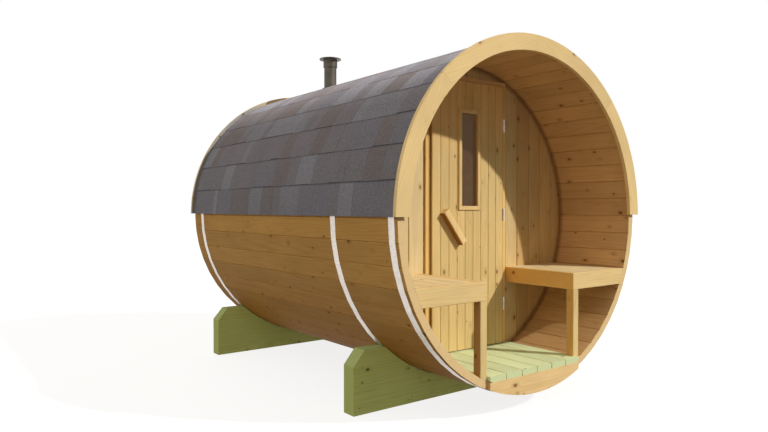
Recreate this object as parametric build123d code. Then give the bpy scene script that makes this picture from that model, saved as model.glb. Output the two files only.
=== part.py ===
from build123d import *
import os
from math import asin, cos, degrees, radians, sin, tan

# Barrel sauna, in millimetres. The ground is z = 0, the barrel's axis runs along Y at x = 0, and the
# barrel's middle is at y = 0. The open terrace end faces -Y and the flue stands towards +Y.

# Barrel: flat staves, held by steel hoops
barrel_length = 2510
barrel_radius = 972             # axis to the flat outer face of a stave
stave_count = 52
stave_thickness = 42
stave_chamfer = 3
board_joint = 0.5               # open joint between neighbouring staves, and between arch segments
seat_gap = 0.3                  # between pieces that seat on each other round a curve
hoop_width = 46
hoop_thickness = 1.5
front_hoop_inset = 46           # front end of the staves to the middle of the front hoop
# Where each band of staves ends, counted from the ridge down one side to the lowest stave
band_end_shares = {"top": 4 / 28, "upper": 11 / 28, "side": 18 / 28, "lower": 25 / 28, "bottom": 1}

# Cradles: two sawn timbers, hollowed to the barrel
cradle_length = 1742
cradle_web_height = 95.6       # foot of the cradle to the bottom of its hollow
cradle_thickness = 94
cradle_end_height = 264
cradle_top_height = 348
cradle_corner_run = 72
front_cradle_inset = 551        # front end of the staves to the middle of the front cradle
rear_cradle_inset = 150         # rear end of the staves to the middle of the rear cradle

# Arch trims at both ends of the roof
arch_overhang = 28              # beyond the flat outer face of the staves
arch_width = 90
arch_thickness = 22
arch_segment_count = 4
roof_edge_rise = 6              # axis to the roof's lower edge

# Roof: lapped courses of shingles and a ridge cap
course_count = 8
ridge_opening_width = 157       # between the topmost courses, under the ridge cap
course_gap = 0.4
shingle_butt = 7.5              # thickness at a course's lower edge
shingle_head = 4                # thickness at a course's upper edge
ridge_cap_width = 260
ridge_cap_thickness = 5

# Flue
flue_diameter = 99
flue_wall = 2
flue_inset = 416                # rear end of the staves to the flue's axis
flue_rise = 267                 # ridge to the top of the pipe
flue_drop = 40                  # how far the pipe reaches below the staves
collar_height = 64
collar_wall = 6.5
cowl_diameter = 174
cowl_lid_height = 6
flashing_width = 45
flashing_rise = 34
flashing_thickness = 4

# End walls
wall_thickness = 42
terrace_depth = 535             # front end of the staves to the face of the front wall
rear_overhang = 129             # rear wall's outer face to the rear end of the staves

# Deck, floor and what carries them
joist_height = 71               # lowest stave to the underside of the deck
deck_width = 750
deck_board_count = 6
deck_gap = 6
deck_thickness = 32
joist_thickness = 45
deck_joist_count = 2
floor_joist_count = 4

# Door, its frame and its fittings
door_width = 611
header_height = 71.8            # door frame to the top of the front wall
door_thickness = 40
door_gap = 6                    # round the leaf, inside the frame
door_proud = 14                 # leaf's face before the frame's face
door_back_gap = 5               # leaf's back to the stop
frame_width = 32
frame_head_height = 26
frame_proud = 12                # frame's face before the wall's face
sill_height = 30
stop_width = 16
window_width = 135
window_sill_height = 882        # leaf's bottom edge to the glass that shows
window_top_height = 194         # glass that shows to the leaf's top edge
window_frame_width = 25
window_frame_proud = 9
window_frame_chamfer = 2
window_rebate = 9
glass_thickness = 6
handle_length = 246
handle_width = 44
handle_depth = 42
handle_chamfer = 4
handle_tilt = 38                # degrees from upright, top end towards the free edge
handle_height = 755             # leaf's bottom edge to the handle's middle
handle_inset = 156              # leaf's free edge to the handle's middle
hinge_length = 80
hinge_radius = 5
hinge_pin_radius = 2.5
hinge_clearance = 0.2
hinge_face_gap = 0.5            # knuckle to the leaf's face, and knuckle to knuckle
hinge_plate_width = 24
hinge_plate_thickness = 1.5
low_hinge_inset = 252           # leaf's bottom edge to the middle of the lowest hinge
high_hinge_inset = 246          # leaf's top edge to the middle of the highest hinge

# Terrace benches
seat_rise = 492                 # deck to the seat
bench_clearance = 2             # deck's edge to the left post, and to the right post's notch
right_bench_lap = 22.5          # how far the right bench reaches in over the deck
post_width = 50
post_depth = 50
rail_height = 98
rail_thickness = 28
slat_count = 4
slat_gap = 2
slat_thickness = 26
bearer_size = 40
board_chamfer = 2.5             # along the edges of planed boards, posts and rails

stave_pitch = 360 / stave_count
half_pitch_tangent = tan(radians(stave_pitch / 2))
stave_flat_half = barrel_radius * half_pitch_tangent - board_joint / 2 - stave_chamfer
half_pitch_cosine = cos(radians(stave_pitch / 2))
hoop_inner = (barrel_radius + seat_gap) / half_pitch_cosine
hoop_outer = hoop_inner + hoop_thickness / half_pitch_cosine
cradle_radius = hoop_outer + seat_gap
axis_height = cradle_web_height + cradle_radius
front_y = -barrel_length / 2
rear_y = barrel_length / 2
inner_radius = barrel_radius - stave_thickness
seat_radius = inner_radius - seat_gap
deck_under = axis_height - inner_radius + joist_height
deck_height = deck_under + deck_thickness
wall_face_y = front_y + terrace_depth
wall_back_y = wall_face_y + wall_thickness
rear_wall_back_y = rear_y - rear_overhang
rear_wall_face_y = rear_wall_back_y - wall_thickness
front_cradle_y = front_y + front_cradle_inset
rear_cradle_y = rear_y - rear_cradle_inset
flue_y = rear_y - flue_inset
flue_radius = flue_diameter / 2

os.makedirs("parts", exist_ok=True)


def write_node(node, *shapes):
    solids = [solid for shape in shapes for solid in shape.solids()]
    export_step(Compound(solids) if len(solids) > 1 else solids[0], f"parts/{node}.step")


def across(profile, y0, y1):
    """A solid with a profile drawn in X and Z, from y0 to y1."""
    return extrude(Plane.XZ.offset(-y1) * profile, amount=y1 - y0)


def slab(x_span, y_span, z_span):
    """A rectangular timber between three pairs of limits."""
    spans = (x_span, y_span, z_span)
    middle = Pos(*(sum(span) / 2 for span in spans))
    return middle * Box(*(max(span) - min(span) for span in spans))


def planed(x_span, y_span, z_span, axis):
    """A timber whose four long edges, along one axis, are eased."""
    timber = slab(x_span, y_span, z_span)
    return chamfer(timber.edges().filter_by(axis), board_chamfer)


def disc(radius):
    """A round profile on the barrel's axis."""
    return Pos(0, axis_height) * Circle(radius)


def outline(*points):
    return make_face(Polyline(*points, close=True))


def window_in(x_span, z_span):
    """A rectangular profile between two pairs of limits."""
    (x0, x1), (z0, z1) = x_span, z_span
    return outline((x0, z0), (x1, z0), (x1, z1), (x0, z1))


def on_circle(radius, angle):
    """A point round the axis; 0 degrees is +X and 90 degrees is the ridge."""
    return (radius * cos(radians(angle)), axis_height + radius * sin(radians(angle)))


def ring_part(inner, start_outer, end_outer, start, end):
    """A curved strip between two angles, whose outer face may fall from one thickness to another."""
    middle = (start + end) / 2
    middle_outer = (start_outer + end_outer) / 2
    inner_ends = on_circle(inner, start), on_circle(inner, end)
    outer_ends = on_circle(start_outer, start), on_circle(end_outer, end)
    return make_face([
        ThreePointArc(inner_ends[0], on_circle(inner, middle), inner_ends[1]),
        Line(inner_ends[1], outer_ends[1]),
        ThreePointArc(outer_ends[1], on_circle(middle_outer, middle), outer_ends[0]),
        Line(outer_ends[0], inner_ends[0]),
    ])


def arc_degrees(girth, radius):
    return degrees(girth / radius)


# Staves: flat boards with bevelled edges, drawn at the ridge and turned round the axis
def stave_half_width(radius):
    return radius * half_pitch_tangent - board_joint / 2


stave_half_outline = [
    (stave_flat_half, barrel_radius),
    (stave_half_width(barrel_radius - stave_chamfer), barrel_radius - stave_chamfer),
    (stave_half_width(inner_radius + stave_chamfer), inner_radius + stave_chamfer),
    (stave_half_width(inner_radius) - stave_chamfer, inner_radius),
]
stave_profile = outline(*stave_half_outline, *[(-x, z) for x, z in reversed(stave_half_outline)])
stave = across(stave_profile, front_y, rear_y)
flue_hole = Pos(0, flue_y, axis_height + barrel_radius) * Cylinder(flue_radius + seat_gap, barrel_radius)

staves_a_side = stave_count // 2
stave_nodes = {}
for side_name, turn in (("left", -1), ("right", 1)):
    for number in range(staves_a_side):
        share = (number + 1) / staves_a_side
        band = next(name for name, end_share in band_end_shares.items() if share <= end_share)
        node = f"staves_{band}" if band in ("top", "bottom") else f"staves_{band}_{side_name}"
        turned = Pos(0, 0, axis_height) * Rot(0, turn * (number + 1 / 2) * stave_pitch, 0) * stave
        if number == 0:
            turned = turned - flue_hole
        stave_nodes.setdefault(node, []).append(turned)
for node, staves in stave_nodes.items():
    write_node(node, *staves)

# Hoops: flat steel bands, bent at each joint of the staves
hoop_bends = [number * stave_pitch + 90 for number in range(stave_count)]
hoop_outside = outline(*[on_circle(hoop_outer, angle) for angle in hoop_bends])
hoop_profile = hoop_outside - outline(*[on_circle(hoop_inner, angle) for angle in hoop_bends])
hoop_places = (front_y + front_hoop_inset, front_cradle_y, rear_cradle_y)
hoops = [across(hoop_profile, hoop_y - hoop_width / 2, hoop_y + hoop_width / 2) for hoop_y in hoop_places]
write_node("hoops", *hoops)

# Cradles: the barrel's hoops rest in their hollows
cradle_end = cradle_length / 2
cradle_top_end = cradle_end - cradle_corner_run
cradle_profile = outline(
    (-cradle_end, 0),
    (cradle_end, 0),
    (cradle_end, cradle_end_height),
    (cradle_top_end, cradle_top_height),
    (-cradle_top_end, cradle_top_height),
    (-cradle_end, cradle_end_height),
) - disc(cradle_radius)
for node, cradle_y in (("cradle_front", front_cradle_y), ("cradle_rear", rear_cradle_y)):
    cradle_front = cradle_y - cradle_thickness / 2
    write_node(node, across(cradle_profile, cradle_front, cradle_front + cradle_thickness))

# Arch trims: curved boards, jointed end to end, on the ends of the staves
arch_outer = barrel_radius + arch_overhang
arch_inner = arch_outer - arch_width
arch_start = degrees(asin(roof_edge_rise / arch_inner))
arch_step = (180 - 2 * arch_start) / arch_segment_count
arch_joint = arc_degrees(board_joint, arch_inner)
arch_segments = [
    ring_part(
        arch_inner,
        arch_outer,
        arch_outer,
        arch_start + number * arch_step + arch_joint / 2,
        arch_start + (number + 1) * arch_step - arch_joint / 2,
    )
    for number in range(arch_segment_count)
]
write_node("front_arch_trim", *[across(part, front_y - arch_thickness, front_y) for part in arch_segments])
write_node("rear_arch_trim", *[across(part, rear_y, rear_y + arch_thickness) for part in arch_segments])

# Roof: each course is thickest at its lower edge, where it laps the one below
roof_inner = hoop_outer + seat_gap
roof_start = degrees(asin(roof_edge_rise / roof_inner))
roof_end = 90 - arc_degrees(ridge_opening_width / 2, roof_inner)
course_step = (roof_end - roof_start) / course_count
course_gap_angle = arc_degrees(course_gap, roof_inner)
butt_radius = roof_inner + shingle_butt
head_radius = roof_inner + shingle_head
left_courses = []
right_courses = []
for number in range(course_count):
    low = roof_start + number * course_step
    high = low + course_step - course_gap_angle
    right_courses.append(ring_part(roof_inner, butt_radius, head_radius, low, high))
    left_courses.append(ring_part(roof_inner, head_radius, butt_radius, 180 - high, 180 - low))
write_node("roof_courses_left", *[across(course, front_y, rear_y) for course in left_courses])
write_node("roof_courses_right", *[across(course, front_y, rear_y) for course in right_courses])

cap_half = arc_degrees(ridge_cap_width / 2, roof_inner)
cap_lap = roof_end - (90 - cap_half)
cap_rise = shingle_head + (shingle_butt - shingle_head) * cap_lap / course_step
cap_inner = roof_inner + cap_rise + seat_gap
cap_outer = cap_inner + ridge_cap_thickness
ridge_cap = across(ring_part(cap_inner, cap_outer, cap_outer, 90 - cap_half, 90 + cap_half), front_y, rear_y)
write_node("roof_ridge_cap", ridge_cap - flue_hole)

# Flue: an open pipe through the ridge, a saddle flashing, and a cowl over its top
ridge_height = axis_height + cap_outer
flue_bottom = axis_height + inner_radius - flue_drop
flue_top = ridge_height + flue_rise
flue_height = flue_top - flue_bottom
flue_place = Pos(0, flue_y, flue_bottom + flue_height / 2)
flue_bore = flue_place * Cylinder(flue_radius - flue_wall, flue_height)
write_node("flue_pipe", flue_place * Cylinder(flue_radius, flue_height) - flue_bore)

flashing_foot = flue_radius + flashing_width
flashing_neck = flue_radius + flashing_width / 3
flashing_sink = cap_outer - (cap_outer ** 2 - flashing_foot ** 2) ** 0.5
flashing_low = ridge_height - flashing_sink
flashing_sleeve = flashing_rise + flashing_sink
flashing_body = Pos(0, flue_y, flashing_low + flashing_sleeve / 2) * Cylinder(flashing_neck, flashing_sleeve)
flashing_skirt_height = flashing_sink + flashing_thickness
flashing_skirt_place = Pos(0, flue_y, flashing_low + flashing_skirt_height / 2)
flashing_skirt = flashing_skirt_place * Cylinder(flashing_foot, flashing_skirt_height)
flashing_bed = across(disc(cap_outer + seat_gap), front_y, rear_y)
flashing_bore = flue_place * Cylinder(flue_radius + seat_gap, flue_height)
write_node("flue_flashing", flashing_body + flashing_skirt - flashing_bed - flashing_bore)

collar_inner = flue_radius + seat_gap
collar_outer = flue_radius + collar_wall
collar_bottom = flue_top - collar_height
cowl_radius = cowl_diameter / 2
flue_axis = Pos(0, flue_y, 0)
collar_ring = Circle(collar_outer) - Circle(collar_inner)
collar = flue_axis * Pos(0, 0, collar_bottom) * extrude(collar_ring, amount=collar_height)
lid = flue_axis * Pos(0, 0, flue_top) * extrude(Circle(cowl_radius), amount=cowl_lid_height)
write_node("flue_cowl", collar + lid)

# Deck, floor and their bearers, scribed to the inside of the staves
deck_half = deck_width / 2
deck_pitch = (deck_width + deck_gap) / deck_board_count
deck_board_width = deck_pitch - deck_gap
barrel_bore = across(disc(seat_radius), front_y - arch_thickness, rear_y)


def deck_boards(y0, y1):
    starts = [-deck_half + number * deck_pitch for number in range(deck_board_count)]
    boards = [planed((x, x + deck_board_width), (y0, y1), (deck_under, deck_height), Axis.Y) for x in starts]
    return [board & barrel_bore for board in boards]


write_node("deck_boards", *deck_boards(front_y - arch_thickness, wall_face_y))
write_node("floor_boards", *deck_boards(wall_back_y, rear_wall_face_y))

below_deck = window_in((-barrel_radius, barrel_radius), (axis_height - barrel_radius, deck_under))
joist_profile = disc(seat_radius) & below_deck


def joists(y0, y1, count):
    clear = y1 - y0 - joist_thickness
    places = [y0 + clear * number / (count - 1) for number in range(count)]
    return [across(joist_profile, place, place + joist_thickness) for place in places]


write_node(
    "floor_joists",
    *joists(front_y, wall_face_y, deck_joist_count),
    *joists(wall_back_y, rear_wall_face_y, floor_joist_count),
)

fascia_limits = window_in((-deck_half, deck_half), (axis_height - barrel_radius, deck_under))
write_node("front_fascia", across(disc(barrel_radius) & fascia_limits, front_y - arch_thickness, front_y))

# Front wall, in four pieces round the door frame
door_half = door_width / 2
door_bottom = deck_height + door_gap
frame_head_top = axis_height + seat_radius - header_height
frame_head_bottom = frame_head_top - frame_head_height
door_top = frame_head_bottom - door_gap
frame_inner = door_half + door_gap
frame_outer = frame_inner + frame_width
wall_disc = disc(seat_radius)
wall_low = axis_height - barrel_radius
wall_high = axis_height + barrel_radius
wall_limits = {
    "front_wall_left": ((-barrel_radius, -frame_outer), (wall_low, wall_high)),
    "front_wall_right": ((frame_outer, barrel_radius), (wall_low, wall_high)),
    "front_wall_header": ((-frame_outer, frame_outer), (frame_head_top, wall_high)),
    "front_wall_base": ((-frame_outer, frame_outer), (wall_low, deck_height)),
}
for node, limits in wall_limits.items():
    write_node(node, across(wall_disc & window_in(*limits), wall_face_y, wall_back_y))
write_node("rear_wall", across(wall_disc, rear_wall_face_y, rear_wall_back_y))

# Door frame: rebated jambs and head, and a sill behind the foot of the leaf
frame_face_y = wall_face_y - frame_proud
door_face_y = frame_face_y - door_proud
door_back_y = door_face_y + door_thickness
stop_y = door_back_y + door_back_gap
stop_inner = frame_inner - stop_width
jamb = window_in((frame_inner, frame_outer), (deck_height, frame_head_bottom)) & wall_disc
jamb_stop = window_in((stop_inner, frame_inner), (deck_height + sill_height, frame_head_bottom - stop_width))
right_jamb = across(jamb, frame_face_y, wall_back_y) + across(jamb_stop, stop_y, wall_back_y)
write_node("door_frame_right", right_jamb)
write_node("door_frame_left", mirror(right_jamb, about=Plane.YZ))
head = window_in((-frame_outer, frame_outer), (frame_head_bottom, frame_head_top)) & wall_disc
head_stop = window_in((-frame_inner, frame_inner), (frame_head_bottom - stop_width, frame_head_bottom))
write_node(
    "door_frame_head",
    across(head, frame_face_y, wall_back_y) + across(head_stop, stop_y, wall_back_y),
)
sill_z = (deck_height, deck_height + sill_height)
sill = planed((-frame_inner, frame_inner), (stop_y, wall_back_y), sill_z, Axis.X)
write_node("door_sill", sill)

# Door leaf, its window and its handle
glass_low = door_bottom + window_sill_height
glass_high = door_top - window_top_height
glass_half = window_width / 2


def window_outline(margin):
    return window_in((-glass_half - margin, glass_half + margin), (glass_low - margin, glass_high + margin))


leaf_profile = window_in((-door_half, door_half), (door_bottom, door_top)) - window_outline(window_rebate)
write_node("door_leaf", across(leaf_profile, door_face_y, door_back_y))
window_ring = window_outline(window_frame_width) - window_outline(0)
window_front = across(window_ring, door_face_y - window_frame_proud, door_face_y)
write_node(
    "window_frame",
    chamfer(window_front.faces().sort_by(Axis.Y)[0].edges(), window_frame_chamfer),
    across(window_ring, door_back_y, door_back_y + window_frame_proud),
)
glass_y = (door_face_y + door_back_y - glass_thickness) / 2
glass = across(window_outline(window_rebate - seat_gap), glass_y, glass_y + glass_thickness)
write_node("window_glass", glass)

handle_bar = Pos(0, -handle_depth / 2, 0) * Box(handle_width, handle_depth, handle_length)
handle_bar = chamfer(handle_bar.faces().sort_by(Axis.Y)[0].edges(), handle_chamfer)
handle_place = Pos(handle_inset - door_half, door_face_y, door_bottom + handle_height)
write_node("door_handle", handle_place * Rot(0, -handle_tilt, 0) * handle_bar)

# Hinges: the outer knuckles and the pin are fixed to the frame, the middle knuckle to the leaf's edge
hinge_x = door_half + door_gap / 2
hinge_y = door_face_y - hinge_face_gap - hinge_radius
knuckle_length = (hinge_length - 2 * hinge_face_gap) / 3
hinge_arm_x = (frame_inner - hinge_plate_thickness, frame_inner)
hinge_plate_x = (frame_inner - hinge_plate_thickness, frame_inner + hinge_plate_width)
frame_hinges = []
leaf_hinges = []
low_hinge_z = door_bottom + low_hinge_inset
high_hinge_z = door_top - high_hinge_inset
for hinge_z in (low_hinge_z, (low_hinge_z + high_hinge_z) / 2, high_hinge_z):
    on_axis = Pos(hinge_x, hinge_y, hinge_z)
    z_span = (hinge_z - hinge_length / 2, hinge_z + hinge_length / 2)
    middle_span = (hinge_z - knuckle_length / 2, hinge_z + knuckle_length / 2)
    knuckle_offset = knuckle_length + hinge_face_gap
    fixed = on_axis * Cylinder(hinge_pin_radius, hinge_length)
    for direction in (-1, 1):
        knuckle_z = hinge_z + direction * knuckle_offset
        fixed = fixed + Pos(hinge_x, hinge_y, knuckle_z) * Cylinder(hinge_radius, knuckle_length)
        arm_span = (knuckle_z - knuckle_length / 2, knuckle_z + knuckle_length / 2)
        fixed = fixed + slab(hinge_arm_x, (hinge_y, frame_face_y), arm_span)
    fixed = fixed + slab(hinge_plate_x, (frame_face_y - hinge_plate_thickness, frame_face_y), z_span)
    frame_hinges.append(fixed)
    tongue_x = (door_half, door_half + hinge_plate_thickness)
    tongue = slab(tongue_x, (hinge_y, door_face_y + hinge_plate_width), middle_span)
    moving = tongue + on_axis * Cylinder(hinge_radius, knuckle_length)
    leaf_hinges.append(moving - on_axis * Cylinder(hinge_pin_radius + hinge_clearance, hinge_length))
write_node("frame_hinges", *frame_hinges)
write_node("door_hinges", *leaf_hinges)

# Benches: a front rail and a side beam at seat height on a corner post, and slats on two bearers
seat_height = deck_height + seat_rise
slat_under = seat_height - slat_thickness
rail_low = seat_height - rail_height
rail_z = (rail_low, seat_height)
rail_back_y = front_y + rail_thickness
slat_reach = (seat_radius ** 2 - (axis_height - slat_under) ** 2) ** 0.5
bearer_z = (slat_under - bearer_size, slat_under)
notch_x = (0, deck_half + bench_clearance)
notch = slab(notch_x, (front_y, wall_face_y), (wall_low, deck_height))


def bench(inner):
    """The right-hand bench whose side beam is this far from the middle of the deck."""
    outer = inner + post_width
    slat_pitch = (slat_reach - outer) / slat_count
    slat_width = slat_pitch - slat_gap
    slat_starts = [outer + slat_gap + number * slat_pitch for number in range(slat_count)]
    bearer_spans = ((rail_back_y, rail_back_y + bearer_size), (wall_face_y - bearer_size, wall_face_y))
    post = planed((inner, outer), (front_y, front_y + post_depth), (wall_low, rail_low), Axis.Z)
    front_rail = planed((inner, barrel_radius), (front_y, rail_back_y), rail_z, Axis.X)
    side_beam = planed((inner, outer), (rail_back_y, wall_face_y), rail_z, Axis.Y)
    return {
        "posts": [(post & barrel_bore) - notch],
        "rails": [front_rail & barrel_bore, side_beam],
        "seat": [
            planed((x, x + slat_width), (rail_back_y, wall_face_y), (slat_under, seat_height), Axis.Y)
            for x in slat_starts
        ],
        "bearers": [slab((outer, barrel_radius), y_span, bearer_z) & barrel_bore for y_span in bearer_spans],
    }


right_bench = bench(deck_half - right_bench_lap)
left_bench = {
    piece: [mirror(shape, about=Plane.YZ) for shape in shapes]
    for piece, shapes in bench(deck_half + bench_clearance).items()
}
write_node("bench_posts", *right_bench["posts"], *left_bench["posts"])
for piece in ("rails", "seat", "bearers"):
    write_node(f"right_bench_{piece}", *right_bench[piece])
    write_node(f"left_bench_{piece}", *left_bench[piece])
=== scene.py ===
import math
import bpy
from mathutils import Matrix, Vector


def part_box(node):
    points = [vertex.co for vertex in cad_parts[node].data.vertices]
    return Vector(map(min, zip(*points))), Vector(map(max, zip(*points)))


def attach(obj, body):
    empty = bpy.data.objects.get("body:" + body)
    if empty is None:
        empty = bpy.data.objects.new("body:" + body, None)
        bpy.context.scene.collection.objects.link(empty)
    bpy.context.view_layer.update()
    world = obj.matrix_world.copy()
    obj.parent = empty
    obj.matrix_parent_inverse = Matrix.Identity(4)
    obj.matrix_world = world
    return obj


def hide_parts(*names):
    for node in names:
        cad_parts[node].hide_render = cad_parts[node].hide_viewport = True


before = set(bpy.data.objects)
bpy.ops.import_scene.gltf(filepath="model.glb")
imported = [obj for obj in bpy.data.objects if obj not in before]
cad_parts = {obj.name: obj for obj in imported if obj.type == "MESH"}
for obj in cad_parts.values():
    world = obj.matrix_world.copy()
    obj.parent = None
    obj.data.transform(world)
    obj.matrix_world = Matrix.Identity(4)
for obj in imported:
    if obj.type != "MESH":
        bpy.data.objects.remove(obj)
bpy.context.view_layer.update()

# Cradles: two sawn softwood timbers, hollowed on a band saw to the round of the barrel.
# They are soaked in green preservative, and their sawn ends are darker.
# They lie loose on the ground, and the barrel rests in their hollows.


def linear(red, green, blue):
    """A colour given in 0 to 255, as the shaders take it."""
    parts = [value / 255 for value in (red, green, blue)]
    return tuple(((p + 0.055) / 1.055) ** 2.4 if p > 0.04 else p / 12.92 for p in parts) + (1,)


def node(tree, kind, inputs=None, **settings):
    """A node whose settings and input sockets are filled in; a socket given as a value is linked."""
    made = tree.nodes.new(kind)
    for key, value in settings.items():
        setattr(made, key, value)
    for key, value in (inputs or {}).items():
        if isinstance(value, bpy.types.NodeSocket):
            tree.links.new(value, made.inputs[key])
        else:
            made.inputs[key].default_value = value
    return made


def calc(tree, operation, *values, clamp=False):
    return node(tree, "ShaderNodeMath", dict(enumerate(values)), operation=operation, use_clamp=clamp).outputs[0]


def ease(tree, value, low, high):
    """0 where value is at low, 1 where it is at high, with soft ends."""
    sockets = {"Value": value, "From Min": low, "From Max": high}
    return node(tree, "ShaderNodeMapRange", sockets, interpolation_type="SMOOTHSTEP").outputs["Result"]


def blend(tree, share, first, second, mode="MIX"):
    mix = node(tree, "ShaderNodeMix", {0: share, 6: first, 7: second}, data_type="RGBA", blend_type=mode)
    return mix.outputs[2]


def component(tree, vector, axis):
    """One of the three numbers of a vector: X, Y or Z."""
    return node(tree, "ShaderNodeSeparateXYZ", {0: vector}).outputs[axis]


def scaled(tree, vector, amount):
    return node(tree, "ShaderNodeVectorMath", {0: vector, 3: amount}, operation="SCALE").outputs[0]


def noise(tree, place, scale, detail):
    sockets = {"Vector": place, "Scale": scale, "Detail": detail}
    return node(tree, "ShaderNodeTexNoise", sockets).outputs[0]


def bump(tree, height, strength, depth, **settings):
    sockets = {"Height": height, "Strength": strength, "Distance": depth}
    return node(tree, "ShaderNodeBump", sockets, **settings).outputs[0]


def bare_material(name):
    material = bpy.data.materials.new(name)
    material.use_nodes = True
    material.node_tree.nodes.clear()
    return material, material.node_tree


def surface(tree, sockets):
    shader = node(tree, "ShaderNodeBsdfPrincipled", sockets)
    node(tree, "ShaderNodeOutputMaterial", {"Surface": shader.outputs[0]})


def boards_along(axis, start, pitch):
    """Numbers the boards that lie side by side along one axis."""

    def number(tree, place):
        along = calc(tree, "SUBTRACT", component(tree, place, axis), start)
        return calc(tree, "FLOOR", calc(tree, "DIVIDE", along, pitch))

    return number


def softwood(
    name, pale, late, knot, grain, number, tone=0.3, end=None, rough=0.62, saw=0.0, knots=12.0, marks=(),
    shine=0.2, turn=None,
):
    """Planed softwood: growth lines along the grain axis, fibres, scattered knots, and a tone for each board.

    Each mark is a place, as a share from 0 to 1, and the tint that the wood takes there. The tints are fitted
    to the tones of the photograph, and many of them are painted shade or painted light. turn lays the boards that
    stand at an angle along the grain axis.
    """
    knot_stretch, line_stretch, fibre_stretch = 0.6, 0.035, 0.03
    line_count, line_bend = 34.0, 1.6
    material, tree = bare_material(name)
    coordinates = node(tree, "ShaderNodeTexCoord").outputs
    place = coordinates["Object"]
    chance = node(tree, "ShaderNodeTexWhiteNoise", {"W": number(tree, place)}, noise_dimensions="1D").outputs
    laid = turn(tree, place) if turn else place
    shift = scaled(tree, chance["Color"], 9.0)
    moved = node(tree, "ShaderNodeVectorMath", {0: laid, 1: shift}, operation="ADD").outputs[0]

    def stretched(along):
        scale = tuple(along if axis == grain else 1.0 for axis in "XYZ")
        return node(tree, "ShaderNodeVectorMath", {0: moved, 1: scale}, operation="MULTIPLY").outputs[0]

    cells = node(tree, "ShaderNodeTexVoronoi", {"Vector": stretched(knot_stretch), "Scale": knots}).outputs
    girth = calc(tree, "POWER", component(tree, cells["Color"], "X"), 1.1)
    eyes = calc(tree, "DIVIDE", cells["Distance"], calc(tree, "MULTIPLY_ADD", girth, 1.25, 0.2))
    knot_core = ease(tree, eyes, 0.14, 0.04)
    swirl = ease(tree, eyes, 0.32, 0.05)
    slow = noise(tree, stretched(line_stretch), 11.0, 1.0)
    field = calc(tree, "MULTIPLY_ADD", slow, line_count, calc(tree, "MULTIPLY", swirl, line_bend))
    growth = ease(tree, calc(tree, "PINGPONG", field, 1.0), 0.35, 1.0)
    fibre = noise(tree, stretched(fibre_stretch), 330.0, 3.0)
    cloud = noise(tree, moved, 2.6, 2.0)

    lines = calc(tree, "MULTIPLY_ADD", growth, 0.3, calc(tree, "MULTIPLY_ADD", fibre, 0.6, -0.16), clamp=True)
    colour = blend(tree, lines, pale, late)
    rise = calc(tree, "MULTIPLY_ADD", chance["Value"], tone, 1.0 - tone / 2)
    rise = calc(tree, "MULTIPLY", rise, calc(tree, "MULTIPLY_ADD", cloud, 0.34, 0.83))
    colour = scaled(tree, colour, rise)
    colour = blend(tree, calc(tree, "MULTIPLY", swirl, 0.6), colour, late)
    colour = blend(tree, calc(tree, "MULTIPLY", knot_core, 0.84), colour, knot)
    for where, tint in marks:
        colour = blend(tree, where(tree, coordinates), colour, tint + (1,), "MULTIPLY")
    if end:
        facing = component(tree, coordinates["Normal"], grain)
        cut = ease(tree, calc(tree, "ABSOLUTE", facing), 0.7, 0.9)
        colour = blend(tree, cut, colour, blend(tree, calc(tree, "MULTIPLY", fibre, 0.5), end, late))
    height = calc(tree, "MULTIPLY_ADD", fibre, 0.5, calc(tree, "MULTIPLY", growth, -0.35))
    if saw:
        height = calc(tree, "MULTIPLY_ADD", noise(tree, place, 160.0, 2.0), saw, height)
    relief = bump(tree, height, 0.3, 0.0012)
    gloss = calc(tree, "MULTIPLY_ADD", fibre, 0.2, rough - 0.1)
    sheen = {"Roughness": gloss, "IOR": 1.45, "Specular IOR Level": shine}
    surface(tree, {"Base Color": colour, "Normal": relief, **sheen})
    return material


def dress(names, material):
    for name in names:
        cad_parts[name].data.materials.clear()
        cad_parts[name].data.materials.append(material)


def painted_shade_upper_face(tree, outputs):
    """1 on the faces that look up, where shade is painted."""
    return ease(tree, component(tree, outputs["Normal"], "Z"), 0.3, 0.65)


# A start far outside the part, from which whole pieces are numbered.
far_out = -5.0
treated_timber = softwood(
    "treated_timber", linear(235, 246, 147), linear(204, 215, 110), linear(52, 46, 20), "X",
    boards_along("Y", far_out, 1.3), tone=0.08, end=linear(170, 176, 106), rough=0.8, saw=0.9, knots=17.0,
    # The tint on the faces that look up is painted shade.
    marks=[(painted_shade_upper_face, (0.56, 0.6, 0.8))],
)
dress(["cradle_front", "cradle_rear"], treated_timber)

# Staves: the barrel's planed softwood boards, bevelled on both edges so that they close into a round.
# Each was cut from its own plank, so tone and knots change from stave to stave.
# The hoops pull them tight. Their outside has a darker and warmer tint than their inside, which is painted shade.
axis_height = (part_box("hoops")[0].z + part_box("hoops")[1].z) / 2
stave_count = 52
wall_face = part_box("front_wall_left")[0].y
outside_from, outside_full = 0.945, 0.96
corner_width = 0.035
low_from, low_full = 0.85, 0.2
joint_edge, joint_core = 0.0042, 0.0016
joint_fade_outside = -0.8


def round_angle(tree, place):
    """The angle of a point round the barrel's axis, from the top."""
    height = calc(tree, "SUBTRACT", component(tree, place, "Z"), axis_height)
    return calc(tree, "ARCTAN2", component(tree, place, "X"), height)


def staves_round(tree, place):
    return calc(tree, "FLOOR", calc(tree, "MULTIPLY", round_angle(tree, place), stave_count / math.tau))


def from_axis(tree, outputs):
    """How far a point is from the barrel's axis."""
    sockets = {0: outputs["Object"], 1: (0, 0, axis_height)}
    across = node(tree, "ShaderNodeVectorMath", sockets, operation="SUBTRACT").outputs[0]
    flat = node(tree, "ShaderNodeVectorMath", {0: across, 1: (1, 0, 1)}, operation="MULTIPLY").outputs[0]
    return node(tree, "ShaderNodeVectorMath", {0: flat}, operation="LENGTH").outputs["Value"]


def outer_face(tree, outputs):
    """1 on the outside of the staves, 0 on the inside."""
    return ease(tree, from_axis(tree, outputs), outside_from, outside_full)


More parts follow.
